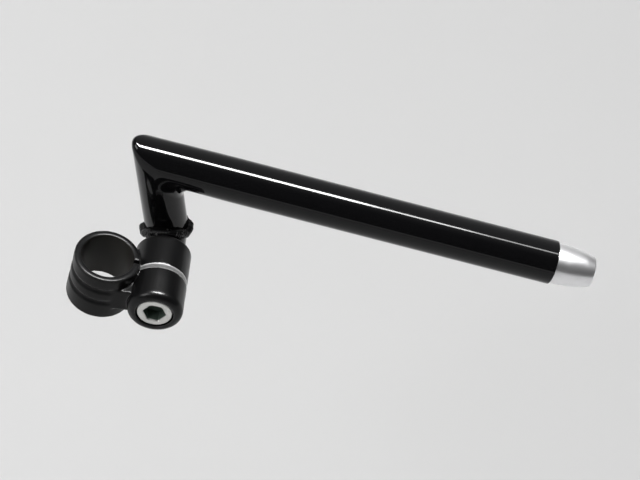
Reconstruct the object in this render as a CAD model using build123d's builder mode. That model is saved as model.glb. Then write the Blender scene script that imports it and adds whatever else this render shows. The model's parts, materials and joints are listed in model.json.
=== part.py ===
from build123d import *
import math
import os

# Clip-on handlebar: a split fork clamp, and a handle tube on a welded riser that swivels in the clamp.
# Millimetres. Origin at the centre of the fork bore, half way up the ring. +Z runs up the fork,
# +X points outboard along the handle and +Y points forward, away from the rider.

# Tubes of the handle and the riser
tube_diameter = 22.2
riser_diameter = 21.7
tube_wall = 2.0
handle_length = 205.0
riser_height = 51.2
mitre_angle = 70.0
riser_lean = 16.3
corner_radius = 3.0
grip_gap = 5.6

# Fork ring
bore_diameter = 26.0
ring_wall = 3.4
ring_height = 28.6
ring_chamfer = 0.6
bore_chamfer = 0.4
groove_count = 2
groove_pitch = 8.2
groove_width = 3.7
groove_floor = 1.1
groove_depth = 0.8

# Holder of the stem, beside the ring
holder_offset = 27.9
holder_rise = 1.5
holder_diameter = 27.8
holder_rear = 20.1
holder_front = 19.6
holder_round = 3.7
nose_length = 2.7
nose_diameter = 21.2
slit_width = 2.0
web_half_width = 13.0
web_height = 14.0
web_drop = 1.4

# Pinch bolt
bolt_diameter = 12.0
bolt_length = 40.0
bolt_head_diameter = 18.0
bolt_head_height = 12.0
bolt_head_edge = 0.8
bolt_socket = 10.0
bolt_socket_depth = 6.0
bolt_recess = 0.6
bolt_hole_clearance = 0.5
bolt_head_clearance = 0.4
thread_clearance = 0.02

# Stem
neck_diameter = 20.2
neck_gap = 2.25
shank_diameter = 17.0
shank_setback = 1.0
swivel_clearance = 0.05
stem_overhang = 2.65
stem_edge = 1.5
thread_runout = 3.0

# Weld round the foot of the riser
weld_spread = 2.3
weld_climb = 3.2
weld_foot = 0.5
riser_foot = 2.0

# Cap in the tube's end, with its bolt, rubber and nut
cap_length = 20.5
cap_base_diameter = 20.6
cap_tip_diameter = 15.0
cap_shoulder = 11.0
cap_shoulder_diameter = 19.2
cap_edge = 1.2
cap_spigot_length = 8.0
plug_clearance = 0.05
cap_bolt_diameter = 6.0
cap_bolt_head_diameter = 10.0
cap_bolt_head_height = 6.0
cap_bolt_head_edge = 0.5
cap_bolt_socket = 5.0
cap_bolt_socket_depth = 3.0
cap_bolt_recess = 0.8
cap_bolt_clearance = 0.4
cap_bolt_end = 2.0
rubber_length = 22.0
nut_diameter = 15.0
nut_length = 8.0

# Worked out from the sizes above
tube_radius = tube_diameter / 2
tube_bore_radius = tube_radius - tube_wall
riser_radius = riser_diameter / 2
ring_radius = bore_diameter / 2 + ring_wall
holder_radius = holder_diameter / 2
neck_radius = neck_diameter / 2
half_mitre = math.radians(mitre_angle / 2)
lean = math.radians(riser_lean)
nose_end = holder_front + nose_length
riser_forward = nose_end + neck_gap + riser_radius
stem_end = riser_forward + riser_radius + stem_overhang
bolt_seat = -holder_rear + bolt_recess + bolt_head_height
bolt_tip = bolt_seat + bolt_length
mitre_reach = riser_radius / math.tan(half_mitre)
grip_start = mitre_reach + grip_gap

# Directions: up the riser, across it, out along the handle
riser_up = Vector(-math.sin(lean), 0, math.cos(lean))
riser_across = Vector(math.cos(lean), 0, math.sin(lean))
handle_out = riser_across * math.sin(2 * half_mitre) - riser_up * math.cos(2 * half_mitre)

# Planes that carry the pieces
forward = Vector(0, 1, 0)
holder_centre = Vector(holder_offset, 0, holder_rise)
holder_axis = Axis(holder_centre, forward)
holder_plane = Plane(holder_centre, x_dir=(1, 0, 0), z_dir=forward)
holder_section = Plane(holder_centre, x_dir=forward, z_dir=(1, 0, 0))
riser_base = holder_centre + forward * riser_forward
riser_plane = Plane(riser_base, x_dir=riser_across, z_dir=riser_up)
corner = riser_base + riser_up * riser_height
handle_plane = Plane(corner, x_dir=forward, z_dir=handle_out)
mitre_plane = Plane(corner, x_dir=forward, z_dir=handle_out + riser_up)
corner_plane = Plane(corner, x_dir=handle_out - riser_up, z_dir=-forward)
tube_end = corner + handle_out * handle_length
tube_end_axis = Axis(tube_end, handle_out)
tube_end_section = Plane(tube_end, x_dir=handle_out, z_dir=-forward)

# Relief that grinds the sharp tip of the mitre to a radius, on both tubes
mitre_tip = -riser_radius / math.sin(half_mitre)
relief_centre = mitre_tip + corner_radius / math.sin(half_mitre)
relief_edge = relief_centre - corner_radius * math.sin(half_mitre)
with BuildSketch(corner_plane) as corner_relief:
    with Locations(((mitre_tip - corner_radius + relief_edge) / 2, 0)):
        Rectangle(relief_edge - mitre_tip + corner_radius, 4 * corner_radius)
    with Locations((relief_centre, 0)):
        Circle(corner_radius, mode=Mode.SUBTRACT)

os.makedirs("parts", exist_ok=True)

# Clamp: grooved fork ring, web and holder, split by one slit
with BuildPart() as clamp_body:
    with BuildSketch(Plane.XY.offset(-ring_height / 2)):
        Circle(ring_radius)
    extrude(amount=ring_height)
    chamfer(clamp_body.edges().filter_by(GeomType.CIRCLE), length=ring_chamfer)
    for row in range(groove_count):
        groove_z = holder_rise + (row - (groove_count - 1) / 2) * groove_pitch
        groove_mouth = groove_width - groove_floor / 2
        with BuildSketch(Plane.XZ):
            with BuildLine():
                Polyline(
                    (ring_radius + groove_depth, groove_z - groove_mouth),
                    (ring_radius - groove_depth, groove_z - groove_floor / 2),
                    (ring_radius - groove_depth, groove_z + groove_floor / 2),
                    (ring_radius + groove_depth, groove_z + groove_mouth),
                    close=True,
                )
            make_face()
        revolve(axis=Axis.Z, mode=Mode.SUBTRACT)

    with BuildSketch(Plane.XY.offset(holder_rise - web_drop - web_height / 2)):
        with BuildLine():
            CenterArc((0, 0), ring_radius - groove_depth, 0, 360)
            Line((holder_offset, -web_half_width), (holder_offset, web_half_width))
        make_hull()
    extrude(amount=web_height)

    with BuildSketch(holder_section):
        with BuildLine():
            Polyline(
                (-holder_rear, 0),
                (-holder_rear, holder_radius - holder_round),
            )
            RadiusArc(
                (-holder_rear, holder_radius - holder_round),
                (-holder_rear + holder_round, holder_radius),
                holder_round,
            )
            Polyline(
                (-holder_rear + holder_round, holder_radius),
                (holder_front, holder_radius),
                (nose_end, nose_diameter / 2),
                (nose_end, 0),
                (-holder_rear, 0),
            )
        make_face()
    revolve(axis=holder_axis)

    with BuildSketch(Plane.XY):
        Circle(bore_diameter / 2)
    extrude(amount=holder_diameter, both=True, mode=Mode.SUBTRACT)
    bore_rims = clamp_body.edges().filter_by(GeomType.CIRCLE).filter_by(
        lambda edge: math.isclose(edge.radius, bore_diameter / 2)
    )
    chamfer(bore_rims, length=bore_chamfer)
    with BuildSketch(holder_plane.offset(-holder_rear)):
        Circle(bolt_diameter / 2 + bolt_hole_clearance)
    extrude(amount=holder_rear, mode=Mode.SUBTRACT)
    with BuildSketch(holder_plane.offset(-holder_rear)):
        Circle(bolt_head_diameter / 2 + bolt_head_clearance)
    extrude(amount=holder_rear + bolt_seat, mode=Mode.SUBTRACT)
    with BuildSketch(holder_plane):
        Circle(shank_diameter / 2 + swivel_clearance)
    extrude(amount=nose_end, mode=Mode.SUBTRACT)
    with BuildSketch(Plane.XZ.offset(-slit_width / 2)):
        with Locations(((holder_offset + holder_diameter) / 2, holder_rise)):
            Rectangle(holder_offset + holder_diameter, 2 * holder_diameter)
    extrude(amount=slit_width, mode=Mode.SUBTRACT)
clamp_body.part.label = "clamp_body"
export_step(clamp_body.part, "parts/clamp_body.step")

# Pinch bolt: socket-head screw along the holder's axis
with BuildPart() as pinch_bolt:
    with BuildSketch(holder_plane.offset(bolt_seat - bolt_head_height)):
        Circle(bolt_head_diameter / 2)
    extrude(amount=bolt_head_height)
    chamfer(pinch_bolt.edges().filter_by(GeomType.CIRCLE).sort_by(Axis.Y)[0], length=bolt_head_edge)
    with BuildSketch(holder_plane.offset(bolt_seat)):
        Circle(bolt_diameter / 2)
    extrude(amount=bolt_length)
    with BuildSketch(holder_plane.offset(bolt_seat - bolt_head_height)):
        RegularPolygon(bolt_socket / 2, 6, major_radius=False)
    extrude(amount=bolt_socket_depth, mode=Mode.SUBTRACT)
pinch_bolt.part.label = "pinch_bolt"
export_step(pinch_bolt.part, "parts/pinch_bolt.step")

# Stem: shank in the holder, neck in front of it, tapped for the pinch bolt
with BuildPart() as stem:
    with BuildSketch(holder_plane.offset(nose_end)):
        Circle(neck_radius)
    extrude(amount=stem_end - nose_end)
    chamfer(stem.edges().filter_by(GeomType.CIRCLE).sort_by(Axis.Y)[-1], length=stem_edge)
    with BuildSketch(holder_plane.offset(slit_width / 2 + shank_setback)):
        Circle(shank_diameter / 2)
    extrude(amount=nose_end - slit_width / 2 - shank_setback)
    with BuildSketch(holder_plane):
        Circle(bolt_diameter / 2 + thread_clearance)
    extrude(amount=bolt_tip + thread_runout, mode=Mode.SUBTRACT)
stem.part.label = "stem"
export_step(stem.part, "parts/stem.step")

# Riser: coped to the stem's neck below, mitred to the handle above
with BuildPart() as riser_tube:
    with BuildSketch(riser_plane.offset(riser_foot)):
        Circle(riser_radius)
        Circle(riser_radius - tube_wall, mode=Mode.SUBTRACT)
    extrude(amount=riser_height - riser_foot + mitre_reach + corner_radius)
    split(bisect_by=mitre_plane, keep=Keep.BOTTOM)
    extrude(corner_relief.sketch, amount=riser_radius, both=True, mode=Mode.SUBTRACT)
    with BuildSketch(holder_plane.offset(nose_end)):
        Circle(neck_radius)
    extrude(amount=stem_end, mode=Mode.SUBTRACT)
riser_tube.part.label = "riser_tube"
export_step(riser_tube.part, "parts/riser_tube.step")

# Weld: a fat bead that fills the angle between the riser and the neck
with BuildPart() as saddle_weld:
    with BuildSketch(riser_plane.offset(weld_foot)):
        Circle(riser_radius + weld_spread)
        Circle(riser_radius, mode=Mode.SUBTRACT)
    extrude(amount=neck_radius + weld_climb)
    with BuildSketch(holder_plane.offset(nose_end)):
        Circle(neck_radius + weld_climb)
        Circle(neck_radius, mode=Mode.SUBTRACT)
    extrude(amount=stem_end, mode=Mode.INTERSECT)
saddle_weld.part.label = "saddle_weld"
export_step(saddle_weld.part, "parts/saddle_weld.step")

# Handle: root mitred and dressed down to the riser's size, then the length that takes grips and controls
with BuildPart() as handle_tube:
    with BuildSketch(handle_plane.offset(-mitre_reach - corner_radius)):
        Circle(riser_radius)
    extrude(amount=mitre_reach + corner_radius + grip_start)
    with BuildSketch(handle_plane.offset(grip_start)):
        Circle(tube_radius)
    extrude(amount=handle_length - grip_start)
    with BuildSketch(handle_plane.offset(handle_length)):
        Circle(tube_bore_radius)
    extrude(amount=-handle_length - mitre_reach - corner_radius, mode=Mode.SUBTRACT)
    split(bisect_by=mitre_plane, keep=Keep.TOP)
    extrude(corner_relief.sketch, amount=tube_radius, both=True, mode=Mode.SUBTRACT)
handle_tube.part.label = "handle_tube"
export_step(handle_tube.part, "parts/handle_tube.step")

# End cap: spigot in the tube, a gentle and a steeper taper outside it, counterbore for its bolt
cap_hole_radius = cap_bolt_diameter / 2 + cap_bolt_clearance
cap_counterbore_radius = cap_bolt_head_diameter / 2 + cap_bolt_clearance
cap_seat = cap_length - cap_bolt_recess - cap_bolt_head_height
with BuildPart() as bar_end_cap:
    with BuildSketch(tube_end_section):
        with BuildLine():
            Polyline(
                (0, cap_base_diameter / 2),
                (cap_shoulder, cap_shoulder_diameter / 2),
                (cap_length, cap_tip_diameter / 2),
                (cap_length, cap_counterbore_radius),
                (cap_seat, cap_counterbore_radius),
                (cap_seat, cap_hole_radius),
                (-cap_spigot_length, cap_hole_radius),
                (-cap_spigot_length, tube_bore_radius - plug_clearance),
                (0, tube_bore_radius - plug_clearance),
                close=True,
            )
        make_face()
    revolve(axis=tube_end_axis)
    tip_edges = bar_end_cap.edges().filter_by(GeomType.CIRCLE).group_by(tube_end_axis)[-1]
    chamfer(tip_edges.sort_by(SortBy.RADIUS)[-1], length=cap_edge)
bar_end_cap.part.label = "bar_end_cap"
export_step(bar_end_cap.part, "parts/bar_end_cap.step")

# Bolt of the end cap
cap_bolt_tip = cap_spigot_length + rubber_length + nut_length + cap_bolt_end
cap_bolt_plane = Plane(tube_end, x_dir=forward, z_dir=handle_out)
with BuildPart() as bar_end_bolt:
    with BuildSketch(cap_bolt_plane.offset(cap_seat)):
        Circle(cap_bolt_head_diameter / 2)
    extrude(amount=cap_bolt_head_height)
    head_rim = bar_end_bolt.edges().filter_by(GeomType.CIRCLE).sort_by(tube_end_axis)[-1]
    chamfer(head_rim, length=cap_bolt_head_edge)
    with BuildSketch(cap_bolt_plane.offset(-cap_bolt_tip)):
        Circle(cap_bolt_diameter / 2)
    extrude(amount=cap_bolt_tip + cap_seat)
    with BuildSketch(cap_bolt_plane.offset(cap_seat + cap_bolt_head_height)):
        RegularPolygon(cap_bolt_socket / 2, 6, major_radius=False)
    extrude(amount=-cap_bolt_socket_depth, mode=Mode.SUBTRACT)
bar_end_bolt.part.label = "bar_end_bolt"
export_step(bar_end_bolt.part, "parts/bar_end_bolt.step")

# Rubber sleeve and nut that hold the cap in the tube
with BuildPart() as expander_rubber:
    with BuildSketch(cap_bolt_plane.offset(-cap_spigot_length)):
        Circle(tube_bore_radius - plug_clearance)
        Circle(cap_hole_radius, mode=Mode.SUBTRACT)
    extrude(amount=-rubber_length)
expander_rubber.part.label = "expander_rubber"
export_step(expander_rubber.part, "parts/expander_rubber.step")

with BuildPart() as expander_nut:
    with BuildSketch(cap_bolt_plane.offset(-cap_spigot_length - rubber_length)):
        Circle(nut_diameter / 2)
        Circle(cap_bolt_diameter / 2 + thread_clearance, mode=Mode.SUBTRACT)
    extrude(amount=-nut_length)
expander_nut.part.label = "expander_nut"
export_step(expander_nut.part, "parts/expander_nut.step")
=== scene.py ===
"""Clip-on handlebar: looks, floor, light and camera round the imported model.

Metres, in the model's own frame.
"""
import json
import math

import bmesh
import bpy
from mathutils import Matrix, Vector


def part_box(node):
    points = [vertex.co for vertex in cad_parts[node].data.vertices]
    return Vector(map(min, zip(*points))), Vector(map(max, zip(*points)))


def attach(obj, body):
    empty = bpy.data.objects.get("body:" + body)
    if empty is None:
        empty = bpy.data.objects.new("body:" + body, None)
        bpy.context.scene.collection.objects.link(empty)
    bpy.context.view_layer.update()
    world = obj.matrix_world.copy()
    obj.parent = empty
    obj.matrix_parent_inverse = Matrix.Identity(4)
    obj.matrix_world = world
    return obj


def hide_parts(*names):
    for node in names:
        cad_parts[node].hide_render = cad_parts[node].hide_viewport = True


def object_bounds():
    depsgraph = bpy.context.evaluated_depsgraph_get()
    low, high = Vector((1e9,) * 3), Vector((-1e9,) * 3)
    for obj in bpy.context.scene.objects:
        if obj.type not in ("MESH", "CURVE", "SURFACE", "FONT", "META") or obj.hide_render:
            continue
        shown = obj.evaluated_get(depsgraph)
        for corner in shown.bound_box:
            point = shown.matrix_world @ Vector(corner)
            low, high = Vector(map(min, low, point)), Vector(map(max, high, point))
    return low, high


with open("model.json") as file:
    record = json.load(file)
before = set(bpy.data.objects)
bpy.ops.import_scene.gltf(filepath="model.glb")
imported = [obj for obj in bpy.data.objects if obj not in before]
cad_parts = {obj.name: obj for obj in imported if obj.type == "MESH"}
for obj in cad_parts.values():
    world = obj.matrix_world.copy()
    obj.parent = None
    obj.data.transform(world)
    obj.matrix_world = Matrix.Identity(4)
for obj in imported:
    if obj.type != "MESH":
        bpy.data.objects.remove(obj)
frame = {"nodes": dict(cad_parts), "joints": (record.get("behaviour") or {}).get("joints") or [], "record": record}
cad_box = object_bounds()

MM = 0.001
ROUND = 128
FORWARD = Vector((0, 1, 0))

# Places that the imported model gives
swivel = frame["joints"][0]
mounts = {mount["name"]: mount for mount in frame["record"]["mounts"]}
grip = mounts["handle_bar"]
bore_radius = mounts["fork_clamp"]["dims"]["r_mm"] * MM
tube_radius = grip["dims"]["r_mm"] * MM
grip_length = grip["dims"]["length_mm"] * MM
handle_out = Vector(grip["axis"]).normalized()
grip_start = Vector(grip["pos_m"]) - handle_out * grip_length / 2
tube_end = Vector(grip["pos_m"]) + handle_out * grip_length / 2
holder_centre = Vector(swivel["pos_m"])
riser_low, riser_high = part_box("riser_tube")
riser_radius = (riser_high.y - riser_low.y) / 2
riser_forward = (riser_high.y + riser_low.y) / 2
stem_low, stem_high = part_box("stem")
neck_radius = (stem_high.x - stem_low.x) / 2
clamp_low, clamp_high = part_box("clamp_body")
bolt_low, bolt_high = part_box("pinch_bolt")
bolt_head_radius = (bolt_high.x - bolt_low.x) / 2

# Sizes of the bend, as the solids have them
RISER_LEAN = math.radians(16.3)
RISER_HEIGHT = 51.2 * MM
TUBE_WALL = 2 * MM
HALF_MITRE = math.radians(35)
RISER_FOOT = 2 * MM

# Roundings that grinding and paint give the bend besides, and the rings of its mesh
TIP_ROUND = 2.5 * MM
CROTCH_ROUND = 6.0 * MM
TUBE_EDGE = 0.35 * MM
GRIP_TAPER = 16 * MM
COPE_BITE = 0.6 * MM
BEND_STEPS = 40
SHADE_STEP = 3 * MM

# Directions of the bend, and the corner where the two tubes' axes meet
riser_up = Vector((-math.sin(RISER_LEAN), 0, math.cos(RISER_LEAN)))
riser_base = holder_centre + FORWARD * (riser_forward - holder_centre.y)
corner = riser_base + riser_up * RISER_HEIGHT
mitre_out = (riser_up - handle_out).normalized()
mitre_along = (riser_up + handle_out).normalized()
HALF_TURN = math.pi / 2 - HALF_MITRE
riser_side = mitre_out * math.cos(HALF_TURN) - mitre_along * math.sin(HALF_TURN)
handle_side = mitre_out * math.cos(HALF_TURN) + mitre_along * math.sin(HALF_TURN)


class Wire:
    """An output socket: sums on it add Math nodes, and node() adds any other node of its tree."""

    def __init__(self, socket):
        self.socket = socket
        self.tree = socket.id_data

    def node(self, kind, settings, inputs, output=0):
        made = self.tree.nodes.new(kind)
        for name, value in settings.items():
            setattr(made, name, value)
        for name, value in inputs.items():
            if isinstance(value, Wire):
                self.tree.links.new(value.socket, made.inputs[name])
            else:
                made.inputs[name].default_value = value
        return Wire(made.outputs[output])

    def sibling(self, output):
        return Wire(self.socket.node.outputs[output])

    def sums(self, operation, first, second):
        return self.node("ShaderNodeMath", {"operation": operation}, {0: first, 1: second})

    def __add__(self, other):
        return self.sums("ADD", self, other)

    def __radd__(self, other):
        return self.sums("ADD", other, self)

    def __sub__(self, other):
        return self.sums("SUBTRACT", self, other)

    def __rsub__(self, other):
        return self.sums("SUBTRACT", other, self)

    def __mul__(self, other):
        return self.sums("MULTIPLY", self, other)

    def __rmul__(self, other):
        return self.sums("MULTIPLY", other, self)

    def __pow__(self, other):
        return self.sums("POWER", self, other)

    def __abs__(self):
        return self.sums("ABSOLUTE", self, 0.0)


def noise(place, scale, detail=2.0):
    """Soft noise of about 0 to 1, with scale waves to the metre."""
    return place.node("ShaderNodeTexNoise", {}, {"Vector": place, "Scale": scale, "Detail": detail})


def rise(value, low, high):
    """0 below low and 1 above high, with a smooth step between."""
    limits = {"Value": value, "From Min": low, "From Max": high}
    return value.node("ShaderNodeMapRange", {"interpolation_type": "SMOOTHSTEP"}, limits)


def mix(mask, first, second):
    """The first colour where the mask is 0 and the second where it is 1."""
    return mask.node("ShaderNodeMix", {"data_type": "RGBA"}, {0: mask, 6: first, 7: second}, output=2)


def bump(height, depth, strength):
    """A normal that is dented by the height, where a height of 1 stands depth metres proud."""
    return height.node("ShaderNodeBump", {}, {"Height": height, "Distance": depth, "Strength": strength})


def part_of(place, axis):
    """One coordinate of a place."""
    return place.node("ShaderNodeSeparateXYZ", {}, {"Vector": place}, output=axis)


def vector_sums(operation, first, second, output=0):
    return first.node("ShaderNodeVectorMath", {"operation": operation}, {0: first, 1: second}, output)


def grey(level):
    return (level, level, level, 1)


def new_finish(name):
    """A new material with its shader, and the wire of its Object coordinates."""
    material = bpy.data.materials.new(name)
    material.use_nodes = True
    nodes = material.node_tree.nodes
    place = Wire(nodes.new("ShaderNodeTexCoord").outputs["Object"])
    return material, nodes["Principled BSDF"], place


def dress(shader, values):
    """Sets or links the shader's sockets."""
    for name, value in values.items():
        if isinstance(value, Wire):
            value.tree.links.new(value.socket, shader.inputs[name])
        else:
            shader.inputs[name].default_value = value


PAINT_BLACK = (0.0035, 0.0035, 0.004, 1)
PAINT_CLOUDS = 22
FLECK_EDGE = (0.66, 0.74)
PEEL_SCALE = 420
PEEL_DEPTH = 0.02 * MM


def gloss_paint(name, roughness, fleck_scale, fleck):
    """Black gloss paint: slight orange peel, and a few pale flecks in it: specks of dust, and on the weld painted
    glints.
    """
    material, shader, place = new_finish(name)
    cloud = noise(place, PAINT_CLOUDS)
    # Flecks: dust, and painted glints where the fleck colour is pale.
    dust_and_glints = rise(noise(place, fleck_scale, 1), *FLECK_EDGE)
    peel = noise(place, PEEL_SCALE, 1)
    dress(shader, {
        "Base Color": mix(dust_and_glints, PAINT_BLACK, grey(fleck)),
        "Roughness": roughness + 0.04 * cloud + 0.1 * dust_and_glints,
        "Specular IOR Level": 0.25,
        "Normal": bump(peel, PEEL_DEPTH, 0.12),
    })
    return material


COAT_DARK = (0.003, 0.003, 0.0032, 1)
COAT_LIGHT = (0.005, 0.005, 0.0053, 1)
# Brown tint in the fork bore: wear, and a painted reflection.
BORE_WEAR_AND_REFLECTION = (0.020, 0.018, 0.015, 1)
# Lighter colour on the outer edges: wear, and painted glints.
BARE_EDGE_AND_GLINT = grey(0.10)
BARE_SLIT = grey(0.66)
BORE_EDGE = (0.1 * MM, 0.3 * MM)
SHEEN_EDGE = (14.5 * MM, 16 * MM)
SLIT_EDGE = (1.3 * MM, 1.6 * MM)
SLIT_START = (-11.5 * MM, -10.5 * MM)
CAST_GRAIN = 1900
CAST_CLOUDS = 60
CAST_DEPTH = 0.03 * MM


def clamp_coating():
    """Satin black coating on the casting: worn and tinted brown by a painted reflection in the fork bore, bare in
    the slit, and lighter on its outer edges by wear and painted glints.
    """
    material, shader, place = new_finish("clamp_coating")
    across = part_of(place, "X")
    ahead = part_of(place, "Y")
    from_bore = (across * across + ahead * ahead) ** 0.5
    in_bore = 1 - rise(from_bore, bore_radius + BORE_EDGE[0], bore_radius + BORE_EDGE[1])
    from_holder = across - holder_centre.x
    above = part_of(place, "Z") - holder_centre.z
    from_axis_squared = from_holder * from_holder + above * above
    on_holder = 1 - rise(from_axis_squared, SHEEN_EDGE[0] ** 2, SHEEN_EDGE[1] ** 2)
    in_slit = (1 - rise(abs(ahead), *SLIT_EDGE)) * rise(from_holder, *SLIT_START)
    edge = across.node("ShaderNodeAttribute", {"attribute_name": "edge"}, {}, output="Fac")
    grain = noise(place, CAST_GRAIN, 3)
    cloud = noise(place, CAST_CLOUDS, 3)
    # Outer edges lighter: wear, and painted glints on them.
    rubbed_and_glinting = rise(edge + 0.35 * (cloud - 0.5), 0.55, 0.95) * 0.2
    coat = mix(cloud, COAT_DARK, COAT_LIGHT)
    worn_and_glinting = mix(rubbed_and_glinting, coat, BARE_EDGE_AND_GLINT)
    # The fork bore: worn, and tinted brown as a painted reflection.
    bored = mix(in_bore, worn_and_glinting, BORE_WEAR_AND_REFLECTION)
    dress(shader, {
        "Base Color": mix(in_slit, bored, BARE_SLIT),
        "Metallic": 0.3 * in_slit,
        "Roughness": 0.27 + 0.06 * cloud + 0.2 * in_bore + 0.15 * in_slit,
        "Specular IOR Level": 0.15,
        "Coat Weight": 0.16 * on_holder,
        "Coat Roughness": 0.20,
        "Normal": bump(grain, CAST_DEPTH, 0.12),
    })
    return material


TURNING_LINES = 4200
METAL_CLOUDS = 130
DULL_SHARE = 0.8
# Dark colour in the socket: painted shade, with grime.
SOCKET_SHADE_AND_GRIME = (0.11, 0.15, 0.125, 1)
SHADE_AND_GRIME_EDGE = 0.2 * MM
SHADE_AND_GRIME_START = (0.2 * MM, 0.8 * MM)


def turned_metal(name, centre, axis, colour, roughness, ring_depth, socket_reach=0.0):
    """Bright metal with fine turning lines round an axis, darkened by painted shade and grime in a socket that
    starts at the centre.
    """
    material, shader, place = new_finish(name)
    arm = vector_sums("SUBTRACT", place, tuple(centre))
    swing = vector_sums("CROSS_PRODUCT", arm, tuple(axis))
    reach = vector_sums("LENGTH", swing, (0, 0, 0), output="Value")
    along = vector_sums("DOT_PRODUCT", arm, tuple(axis), output="Value")
    lines = place.node("ShaderNodeTexNoise", {"noise_dimensions": "1D"},
                       {"W": (reach + along) * TURNING_LINES, "Scale": 1.0, "Detail": 2.0})
    cloud = noise(place, METAL_CLOUDS, 3)
    dull = rise(cloud, 0.45, 0.75)
    # Darker, duller and rougher inside the socket: painted shade, with grime.
    shade_and_grime = (1 - rise(reach, socket_reach - SHADE_AND_GRIME_EDGE, socket_reach)) * rise(along, *SHADE_AND_GRIME_START)
    dull_colour = tuple(DULL_SHARE * level for level in colour)
    bright = mix(dull * 0.4, (*colour, 1), (*dull_colour, 1))
    dress(shader, {
        "Base Color": mix(shade_and_grime, bright, SOCKET_SHADE_AND_GRIME),
        "Metallic": 1 - 0.6 * shade_and_grime,
        "Roughness": roughness + 0.08 * dull + 0.06 * lines + 0.15 * shade_and_grime,
        "Normal": bump(lines, ring_depth, 0.3),
    })
    return material


def black_rubber():
    """Matt moulded rubber."""
    material, shader, place = new_finish("black_rubber")
    cloud = noise(place, 300, 3)
    dress(shader, {
        "Base Color": mix(cloud, grey(0.018), grey(0.04)),
        "Roughness": 0.7 + 0.2 * cloud,
        "Normal": bump(noise(place, 2400), 0.04 * MM, 0.3),
    })
    return material


FLOOR_FAR = (0.6, 2.4)
FLOOR_SHADES = (grey(0.67), grey(0.69))
FLOOR_SEEN = grey(0.76)
NO_LIGHT = grey(0)


def floor_finish():
    """Pale seamless floor, very slightly uneven. Far off, the camera sees it as an even pale grey."""
    material, shader, place = new_finish("pale_floor")
    material.cycles.emission_sampling = "NONE"
    cloud = noise(place, 3, 3)
    ray = place.node("ShaderNodeLightPath", {}, {})
    seen = ray.sibling("Is Camera Ray") + ray.sibling("Is Glossy Ray") + ray.sibling("Is Transmission Ray")
    distance = vector_sums("LENGTH", place, (0, 0, 0), output="Value")
    far_off = rise(distance, *FLOOR_FAR) * seen
    near_by = mix(cloud, *FLOOR_SHADES)
    dress(shader, {
        "Base Color": mix(far_off, near_by, NO_LIGHT),
        "Emission Color": mix(far_off, NO_LIGHT, FLOOR_SEEN),
        "Emission Strength": 1.0,
        "Roughness": 0.75 + 0.1 * cloud,
        "Specular IOR Level": 0.0,
        "Normal": bump(noise(place, 900), 0.05 * MM, 0.2),
    })
    return material


def skin(name, rings, looped):
    """A closed mesh over rings of points: a ring of one point is a pole, and looped joins last to first."""
    shape = bmesh.new()
    made = [[shape.verts.new(point) for point in ring] for ring in rings]
    pairs = list(zip(made, made[1:]))
    if looped:
        pairs.append((made[-1], made[0]))
    for first, second in pairs:
        for step in range(max(len(first), len(second))):
            corners = []
            for ring, turn in ((first, step), (first, step + 1), (second, step + 1), (second, step)):
                vertex = ring[turn % len(ring)]
                if vertex not in corners:
                    corners.append(vertex)
            shape.faces.new(corners)
    bmesh.ops.recalc_face_normals(shape, faces=shape.faces)
    return plain_piece(name, shape)


HARD_CORNER = math.radians(32)


def plain_piece(name, shape):
    """A smooth-shaded object from a bmesh, with its hard corners kept."""
    mesh = bpy.data.meshes.new(name)
    shape.to_mesh(mesh)
    shape.free()
    mesh.shade_smooth()
    mesh.set_sharp_from_angle(angle=HARD_CORNER)
    piece = bpy.data.objects.new(name, mesh)
    bpy.context.collection.objects.link(piece)
    return piece


def rounded(corners, steps=6):
    """A profile of (along, radius) from (along, radius, rounding) corners, with an arc at each rounding."""
    profile = []
    for index, (along, radius, rounding) in enumerate(corners):
        here = Vector((along, radius))
        if rounding == 0:
            profile.append((here.x, here.y))
            continue
        back = Vector(corners[index - 1][:2]) - here
        ahead = Vector(corners[index + 1][:2]) - here
        half = back.angle(ahead) / 2
        start = here + back.normalized() * rounding / math.tan(half)
        stop = here + ahead.normalized() * rounding / math.tan(half)
        centre = here + (back.normalized() + ahead.normalized()).normalized() * rounding / math.sin(half)
        for step in range(steps + 1):
            spoke = (start - centre).lerp(stop - centre, step / steps).normalized() * rounding
            profile.append(tuple(centre + spoke))
    return profile


def spokes(axis):
    """Unit vectors all round an axis. The first one is level where the axis is."""
    first = axis.cross(Vector((0, 0, 1))).normalized()
    second = axis.cross(first)
    turns = [2 * math.pi * step / ROUND for step in range(ROUND)]
    return [first * math.cos(turn) + second * math.sin(turn) for turn in turns]


def lathe_rings(origin, axis, profile):
    """Rings of a turned shape: a radius of 0 gives a pole."""
    rings = []
    for along, radius in profile:
        centre = origin + axis * along
        if radius == 0:
            rings.append([centre])
        else:
            rings.append([centre + spoke * radius for spoke in spokes(axis)])
    return rings


def hex_ring(origin, axis, along, flat_radius):
    """A ring on a hexagon, flat_radius from its middle to its flats."""
    ring = []
    for step, spoke in enumerate(spokes(axis)):
        turn = 2 * math.pi * step / ROUND
        from_flat = (turn % (math.pi / 3)) - math.pi / 6
        ring.append(origin + axis * along + spoke * (flat_radius / math.cos(from_flat)))
    return ring


SOCKET_MOUTH = 1.2
SOCKET_CHAMFER = 0.1
SOCKET_PIT = 0.25
UNDERHEAD_EDGE = 0.3
SHANK_TIP_EDGE = 0.12


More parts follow.
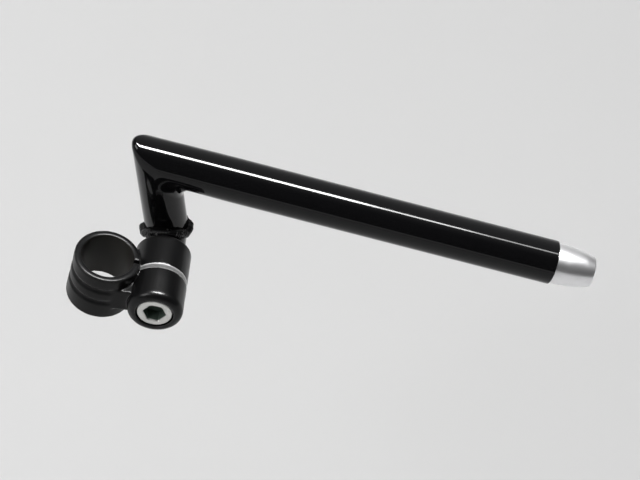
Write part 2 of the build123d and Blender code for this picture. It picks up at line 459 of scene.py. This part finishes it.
def socket_screw(name, origin, axis, head, shank, socket):
    """A socket-head screw whose head's face is at the origin, with axis pointing down its shank."""
    head_radius, head_height, head_edge = head
    shank_radius, shank_length = shank
    socket_flat, socket_depth = socket
    mouth = socket_flat * SOCKET_MOUTH
    chamfer = socket_flat * SOCKET_CHAMFER
    rings = [[origin + axis * (socket_depth + socket_flat * SOCKET_PIT)]]
    rings.append(hex_ring(origin, axis, socket_depth, socket_flat))
    rings.append(hex_ring(origin, axis, chamfer, socket_flat))
    rings += lathe_rings(origin, axis, rounded([
        (0, mouth, 0),
        (0, head_radius, head_edge),
        (head_height, head_radius, head_edge * UNDERHEAD_EDGE),
        (head_height, shank_radius, 0),
        (head_height + shank_length, shank_radius, shank_radius * SHANK_TIP_EDGE),
        (head_height + shank_length, 0, 0),
    ]))
    return skin(name, rings, looped=False)


def keep_for(piece, body, nodes, material):
    """A finished piece: its material, the body that it rides on, the nodes that it stands for."""
    piece.data.materials.clear()
    piece.data.materials.append(material)
    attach(piece, body)
    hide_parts(*nodes)


# Finishes
paint = gloss_paint("gloss_paint", 0.045, 2600, 0.01)
# On the weld, the larger, paler flecks are painted glints on its ripples.
weld_paint = gloss_paint("weld_paint", 0.22, 420, 0.12)
coating = clamp_coating()
BOLT_SOCKET = (5 * MM, 6 * MM)
CAP_BOLT_SOCKET = (2.5 * MM, 3 * MM)
# How far out from the socket's flats the painted shade and grime reach.
SHADE_AND_GRIME_REACH = 1.17
CAP_LENGTH = 20.5 * MM
CAP_BOLT_RECESS = 0.8 * MM
bolt_face = Vector((holder_centre.x, bolt_low.y, holder_centre.z))
cap_bolt_face = tube_end + handle_out * (CAP_LENGTH - CAP_BOLT_RECESS)
ZINC = (0.60, 0.60, 0.58)
zinc = turned_metal("bolt_zinc", bolt_face, FORWARD, ZINC, 0.26, 0.02 * MM, BOLT_SOCKET[0] * SHADE_AND_GRIME_REACH)
cap_zinc = turned_metal("cap_bolt_zinc", cap_bolt_face, -handle_out, ZINC, 0.26, 0.02 * MM,
                        CAP_BOLT_SOCKET[0] * SHADE_AND_GRIME_REACH)
polish = turned_metal("polished_aluminium", tube_end, handle_out, (0.85, 0.85, 0.86), 0.27, 0.001 * MM)
rubber = black_rubber()

# Clamp casting: the solid with its edges cast soft
CASTING_GRID = 0.5 * MM
CASTING_SMOOTHING = 6
EDGE_REACH = 0.11


def clamp_casting():
    """A copy of the solid, remeshed on a fine grid and smoothed, with its outer edges marked for wear and for
    painted glints.
    """
    shape = bmesh.new()
    shape.from_mesh(frame["nodes"]["clamp_body"].data)
    bmesh.ops.remove_doubles(shape, verts=shape.verts, dist=0.001 * MM)
    piece = plain_piece("clamp_casting", shape)
    remesh = piece.modifiers.new("grid", "REMESH")
    remesh.mode = "VOXEL"
    remesh.voxel_size = CASTING_GRID
    remesh.adaptivity = 0
    soften = piece.modifiers.new("soften", "SMOOTH")
    soften.factor = 0.5
    soften.iterations = CASTING_SMOOTHING
    evaluated = piece.evaluated_get(bpy.context.evaluated_depsgraph_get())
    mesh = bpy.data.meshes.new_from_object(evaluated)
    piece.modifiers.clear()
    piece.data = mesh
    mesh.name = "clamp_casting"
    mesh.shade_smooth()
    shape = bmesh.new()
    shape.from_mesh(mesh)
    shape.normal_update()
    # How far each vertex stands out as an edge, for wear and painted glints.
    wear_and_glint = []
    for vertex in shape.verts:
        spans = [vertex.co - edge.other_vert(vertex).co for edge in vertex.link_edges]
        leans = [span.normalized().dot(vertex.normal) for span in spans]
        wear_and_glint.append(max(0, sum(leans) / len(leans)) / EDGE_REACH)
    shape.free()
    mesh.attributes.new("edge", "FLOAT", "POINT").data.foreach_set("value", wear_and_glint)
    return piece


keep_for(clamp_casting(), "clamp", ["clamp_body"], coating)

# Pinch bolt in the holder
BOLT_HEAD = (bolt_head_radius, 12 * MM, 1.0 * MM)
BOLT_SHANK = (6 * MM, 40 * MM)
pinch_screw = socket_screw("pinch_screw", bolt_face, FORWARD, BOLT_HEAD, BOLT_SHANK, BOLT_SOCKET)
keep_for(pinch_screw, "handle", ["pinch_bolt"], zinc)

# Stem that the riser is welded to
SHANK_RADIUS = 8.5 * MM
TAPPED_RADIUS = 6.02 * MM
TAPPED_END = 35.5 * MM
NECK_EDGE = 1.8 * MM
TAIL_START = 40 * MM
TAIL_TAPER = 2.7 * MM
SMALL_EDGE = 0.5 * MM
neck_start = clamp_high.y - holder_centre.y
stem_start = stem_low.y - holder_centre.y
stem_end = stem_high.y - holder_centre.y
stem_profile = rounded([
    (TAPPED_END + TAPPED_RADIUS / 2, 0, 0),
    (TAPPED_END, TAPPED_RADIUS, 0),
    (stem_start, TAPPED_RADIUS, SMALL_EDGE),
    (stem_start, SHANK_RADIUS, SMALL_EDGE),
    (neck_start, SHANK_RADIUS, 0),
    (neck_start, neck_radius, SMALL_EDGE),
    (TAIL_START, neck_radius, 0),
    (stem_end, neck_radius - TAIL_TAPER, NECK_EDGE),
    (stem_end, 0, 0),
])
stem_piece = skin("swivel_stem", lathe_rings(holder_centre, FORWARD, stem_profile), looped=False)
keep_for(stem_piece, "handle", ["stem"], paint)


def neck_at(ahead):
    """The neck's radius at a place ahead of the holder's middle."""
    share = (ahead - TAIL_START) / (stem_end - TAIL_START)
    return neck_radius - TAIL_TAPER * min(max(share, 0), 1)


def bend_ring(radius, share):
    """A ring round the mitre, on the rounding that turns from the riser at 0 to the handle at 1."""
    ring = []
    turn = HALF_TURN * (2 * share - 1)
    lean = mitre_out * math.cos(turn) + mitre_along * math.sin(turn)
    for step in range(ROUND):
        angle = 2 * math.pi * step / ROUND
        outside = math.cos(angle)
        meeting = corner + mitre_out * (radius * outside / math.sin(HALF_MITRE))
        rounding = CROTCH_ROUND + (TIP_ROUND - CROTCH_ROUND) * ((1 + outside) / 2) ** 2
        centre = meeting - mitre_out * (rounding / math.cos(HALF_TURN))
        ring.append(centre + lean * rounding + FORWARD * (radius * math.sin(angle)))
    return ring


def tube_ring(start, side, radius):
    """A square-cut ring of a tube."""
    ring = []
    for step in range(ROUND):
        angle = 2 * math.pi * step / ROUND
        ring.append(start + (side * math.cos(angle) + FORWARD * math.sin(angle)) * radius)
    return ring


def coped_ring(radius):
    """The foot of the riser, which follows the stem's neck round."""
    ring = []
    for step in range(ROUND):
        angle = 2 * math.pi * step / ROUND
        aside = radius * math.cos(angle)
        behind = radius * math.sin(angle)
        neck = neck_at(riser_base.y - holder_centre.y + behind) - COPE_BITE
        height = math.sqrt(max(neck ** 2 - aside ** 2, RISER_FOOT ** 2))
        ring.append(riser_base + riser_up * height + riser_side * aside + FORWARD * behind)
    return ring


def bent_bar():
    """Riser and handle as the one painted tube that the ground mitre makes of them, hollow inside."""
    bend = [bend_ring(riser_radius, step / BEND_STEPS) for step in range(BEND_STEPS + 1)]
    rings = [coped_ring(riser_radius)]
    rings.append([point - riser_up * SHADE_STEP for point in bend[0]])
    rings += bend
    rings.append([point + handle_out * SHADE_STEP for point in bend[-1]])
    for past in (GRIP_TAPER, GRIP_TAPER + SHADE_STEP):
        rings.append(tube_ring(grip_start + handle_out * past, handle_side, tube_radius))
    for short in (TUBE_EDGE + SHADE_STEP, TUBE_EDGE):
        rings.append(tube_ring(tube_end - handle_out * short, handle_side, tube_radius))
    rings.append(tube_ring(tube_end, handle_side, tube_radius - TUBE_EDGE))
    rings.append(tube_ring(tube_end, handle_side, tube_radius - TUBE_WALL))
    rings.append(bend_ring(riser_radius - TUBE_WALL, 0.5))
    rings.append(coped_ring(riser_radius - TUBE_WALL))
    return skin("riser_and_handle", rings, looped=True)


keep_for(bent_bar(), "handle", ["riser_tube", "handle_tube"], paint)

# Weld round the riser's foot
BEAD_RADIUS = 2.3 * MM
BEAD_STAND = 0.8 * MM
BEAD_SIDE_RISE = 3.8 * MM
BEAD_STEPS = 180
THIN_MIDDLES = (math.radians(22), math.radians(146))
THIN_REACH = math.radians(31)
THIN_SHARE = 0.45
THIN_SLOPE = 1.6
THIN_SINK = 1.4
DROP_LEAST = (0.88, 0.88, 0.70)
DROP_MOST = (1.06, 1.06, 0.85)
DROP_SEGMENTS = 20
DROP_RINGS = 12
RIPPLE_PITCH = 1.3 * MM
RIPPLE_SEED = 7


def tree_with(name, sizes):
    """A Geometry Nodes tree with a named input for each size: its wires by name, and its output node."""
    tree = bpy.data.node_groups.new(name, "GeometryNodeTree")
    tree.interface.new_socket("Geometry", in_out="INPUT", socket_type="NodeSocketGeometry")
    for size, socket_type in sizes.items():
        tree.interface.new_socket(size, in_out="INPUT", socket_type=socket_type)
    tree.interface.new_socket("Geometry", in_out="OUTPUT", socket_type="NodeSocketGeometry")
    given = tree.nodes.new("NodeGroupInput")
    wires = {socket.name: Wire(socket) for socket in given.outputs if socket.name}
    return tree, wires, tree.nodes.new("NodeGroupOutput")


def grown(name, path, tree, values):
    """The plain mesh that a tree grows on an object, with the tree's inputs set by their identifiers."""
    grower = path.modifiers.new("grow", "NODES")
    grower.node_group = tree
    for item in tree.interface.items_tree:
        if item.in_out == "INPUT" and item.name in values:
            grower[item.identifier] = values[item.name]
    evaluated = path.evaluated_get(bpy.context.evaluated_depsgraph_get())
    mesh = bpy.data.meshes.new_from_object(evaluated)
    mesh.name = name
    bpy.data.objects.remove(path)
    piece = bpy.data.objects.new(name, mesh)
    bpy.context.collection.objects.link(piece)
    return piece


def ripple_tree():
    """Flattened drops laid along a path, each over the last, as a welder lays them."""
    tree, given, result = tree_with("weld_ripples", {
        "Pitch": "NodeSocketFloat",
        "Radius": "NodeSocketFloat",
        "Seed": "NodeSocketInt",
        "Finish": "NodeSocketMaterial",
    })
    path = given["Geometry"]
    points = path.node("GeometryNodeCurveToPoints", {"mode": "LENGTH"},
                       {"Curve": path, "Length": given["Pitch"]})
    turned = points.node("FunctionNodeAlignRotationToVector", {"axis": "Z"},
                         {"Vector": points.sibling("Tangent")})
    jitter = points.node("FunctionNodeRandomValue", {"data_type": "FLOAT_VECTOR"},
                         {0: DROP_LEAST, 1: DROP_MOST, "Seed": given["Seed"]})
    size = points.node("GeometryNodeInputRadius", {}, {})
    scale = points.node("ShaderNodeVectorMath", {"operation": "SCALE"}, {0: jitter, "Scale": size})
    ball = points.node("GeometryNodeMeshUVSphere", {},
                       {"Segments": DROP_SEGMENTS, "Rings": DROP_RINGS, "Radius": given["Radius"]})
    laid = points.node("GeometryNodeInstanceOnPoints", {},
                       {"Points": points, "Instance": ball, "Rotation": turned, "Scale": scale})
    whole = laid.node("GeometryNodeRealizeInstances", {}, {"Geometry": laid})
    smooth = whole.node("GeometryNodeSetShadeSmooth", {}, {"Geometry": whole})
    painted = smooth.node("GeometryNodeSetMaterial", {}, {"Geometry": smooth, "Material": given["Finish"]})
    tree.links.new(painted.socket, result.inputs["Geometry"])
    return tree


def saddle_path():
    """The line that the weld follows, where the riser's wall meets the neck's."""
    curve = bpy.data.curves.new("saddle_path", "CURVE")
    curve.dimensions = "3D"
    line = curve.splines.new("POLY")
    line.points.add(BEAD_STEPS - 1)
    line.use_cyclic_u = True
    for step, point in enumerate(line.points):
        angle = 2 * math.pi * step / BEAD_STEPS
        from_thin = min(abs(angle - thin_middle) for thin_middle in THIN_MIDDLES)
        thinner = min(THIN_SLOPE * max(1 - from_thin / THIN_REACH, 0), 1)
        point.radius = 1 - (1 - THIN_SHARE) * thinner
        reach = riser_radius + BEAD_STAND * (1 - THIN_SINK * thinner)
        behind = reach * math.sin(angle)
        neck = neck_at(riser_base.y - holder_centre.y + behind) + BEAD_STAND
        aside = reach * math.cos(angle)
        height = math.sqrt(max(neck ** 2 - aside ** 2, BEAD_SIDE_RISE ** 2))
        side = riser_side * aside + FORWARD * behind
        point.co = (*(riser_base + side + riser_up * height), 1)
    path = bpy.data.objects.new("saddle_path", curve)
    bpy.context.collection.objects.link(path)
    return path


weld_bead = grown("weld_bead", saddle_path(), ripple_tree(), {
    "Pitch": RIPPLE_PITCH,
    "Radius": BEAD_RADIUS,
    "Seed": RIPPLE_SEED,
    "Finish": weld_paint,
})
keep_for(weld_bead, "handle", ["saddle_weld"], weld_paint)

# End cap, with a taper that steepens towards its tip, and its bolt
CAP_BASE = 10.3 * MM
CAP_TIP = 7.5 * MM
CAP_STEEPENING = 2.2
CAP_STEPS = 16
CAP_EDGE = 0.3 * MM
CAP_NOSE = 0.9 * MM
CAP_SPIGOT = 8 * MM
CAP_HOLE = 3.4 * MM
CAP_COUNTERBORE = 5.4 * MM
CAP_SEAT = 13.7 * MM
CAP_BOLT_HEAD = (5 * MM, 6 * MM, 0.6 * MM)
CAP_BOLT_SHANK = (3 * MM, 53.7 * MM)
SPIGOT_CLEARANCE = 0.05 * MM
spigot_radius = tube_radius - TUBE_WALL - SPIGOT_CLEARANCE
cap_corners = [
    (-CAP_SPIGOT, CAP_HOLE, 0),
    (-CAP_SPIGOT, spigot_radius, SMALL_EDGE),
    (0, spigot_radius, 0),
    (0, CAP_BASE, CAP_EDGE),
]
for step in range(1, CAP_STEPS):
    share = step / CAP_STEPS
    cap_corners.append((CAP_LENGTH * share, CAP_BASE - (CAP_BASE - CAP_TIP) * share ** CAP_STEEPENING, 0))
cap_corners += [
    (CAP_LENGTH, CAP_TIP, CAP_NOSE),
    (CAP_LENGTH, CAP_COUNTERBORE, CAP_EDGE),
    (CAP_SEAT, CAP_COUNTERBORE, 0),
    (CAP_SEAT, CAP_HOLE, 0),
]
end_cap = skin("end_cap", lathe_rings(tube_end, handle_out, rounded(cap_corners)), looped=True)
keep_for(end_cap, "handle", ["bar_end_cap"], polish)
cap_screw = socket_screw("cap_screw", cap_bolt_face, -handle_out, CAP_BOLT_HEAD, CAP_BOLT_SHANK,
                         CAP_BOLT_SOCKET)
keep_for(cap_screw, "handle", ["bar_end_bolt"], cap_zinc)

# Solids that stay as they are
for node, material in (("expander_rubber", rubber), ("expander_nut", cap_zinc)):
    slots = frame["nodes"][node].data.materials
    slots.clear()
    slots.append(material)

# Floor
FLOOR_DROP = 220 * MM
FLOOR_REACH = 12.0
floor_shape = bmesh.new()
bmesh.ops.create_grid(floor_shape, x_segments=1, y_segments=1, size=FLOOR_REACH,
                      matrix=Matrix.Translation((0, 0, clamp_low.z - FLOOR_DROP)))
floor = plain_piece("floor", floor_shape)
floor.data.materials.append(floor_finish())


def lamp(name, place, aim, size, power, glints_only=False):
    """A soft rectangular lamp that looks at a point. One for glints only shows in what mirrors it."""
    light = bpy.data.lights.new(name, "AREA")
    light.shape = "RECTANGLE"
    light.size, light.size_y = size
    light.energy = power
    holder = bpy.data.objects.new(name, light)
    holder.location = place
    holder.visible_diffuse = not glints_only
    holder.rotation_euler = (Vector(aim) - Vector(place)).to_track_quat("-Z", "Y").to_euler()
    bpy.context.collection.objects.link(holder)


# Light: a strip overhead that dims outboard, a soft fill from the left, and a sky that is pale only ahead.
# Each span has its start, its stop, the glint's width, the strip's brightness and the glint's.
STRIP_HEIGHT = 2.5
STRIP_AHEAD = 0.35
STRIP_WIDTH = 0.26
STRIP_AIM = 0.05
GLINT_DROP = 0.02
FILL_PLACE = (-1.9, -0.9, 1.5)
FILL_SIZE = (1.2, 1.2)
FILL_POWER = 26
STRIP_SPANS = (
    (-0.9, 0.42, 0.42, 40.0, 110.0),
    (0.42, 0.70, 0.42, 30.0, 70.0),
    (0.70, 0.85, 0.26, 18.0, 26.0),
    (0.85, 1.00, 0.20, 10.0, 10.0),
    (1.00, 1.40, 0.20, 1.0, 0.0),
)
for start, stop, glint_width, brightness, glint in STRIP_SPANS:
    span = stop - start
    over = Vector(((start + stop) / 2, STRIP_AHEAD, STRIP_HEIGHT))
    under = over - Vector((0, 0, GLINT_DROP))
    aim = (over.x, STRIP_AIM, 0)
    lamp("strip", over, aim, (span, STRIP_WIDTH), brightness * math.pi * span * STRIP_WIDTH)
    lamp("glint", under, aim, (span, glint_width), glint * math.pi * span * glint_width, glints_only=True)
middle = (cad_box[0] + cad_box[1]) / 2
lamp("fill", FILL_PLACE, tuple(middle), FILL_SIZE, FILL_POWER)
world = bpy.data.worlds.new("room")
bpy.context.scene.world = world
world.use_nodes = True
sky = world.node_tree.nodes["Background"]
heading = Wire(world.node_tree.nodes.new("ShaderNodeTexCoord").outputs["Generated"])
SKY_PALE = grey(0.5)
SKY_DIM = grey(0.06)
SKY_AHEAD = (-0.5, 0.2)
SKY_ASIDE = (0.25, 0.6)
SKY_ASIDE_LOSS = 0.8
aside = rise(abs(part_of(heading, "X")), *SKY_ASIDE)
pale = rise(part_of(heading, "Y"), *SKY_AHEAD) * (1 - SKY_ASIDE_LOSS * aside)
dress(sky, {"Color": mix(pale, SKY_DIM, SKY_PALE), "Strength": 1.0})

# Camera where the photographer stood, drawn in on the object
CAMERA_PLACE = Vector((-0.0605, -0.9666, 1.1363))
CAMERA_AIM = Vector((0.102, 0.030, 0.024))
CAMERA_AHEAD = (CAMERA_AIM - CAMERA_PLACE).normalized()
CAMERA_UP = Vector((-0.194, 0.782, 0.592))
CAMERA_LENS = 170
CAMERA_ROLL = -0.22
CAMERA_SENSOR = 36
CAMERA_NEAREST = 0.01
view = bpy.data.cameras.new("camera")
view.sensor_width = CAMERA_SENSOR
view.lens = CAMERA_LENS
view.clip_start = CAMERA_NEAREST
camera = bpy.data.objects.new("camera", view)
rolled_up = Matrix.Rotation(math.radians(CAMERA_ROLL), 3, CAMERA_AHEAD) @ CAMERA_UP
right = CAMERA_AHEAD.cross(rolled_up).normalized()
up = right.cross(CAMERA_AHEAD).normalized()
turn = Matrix((right, up, -CAMERA_AHEAD)).transposed()
camera.matrix_world = Matrix.Translation(CAMERA_PLACE) @ turn.to_4x4()
bpy.context.collection.objects.link(camera)
bpy.context.scene.camera = camera
bpy.context.scene.view_settings.view_transform = "Standard"
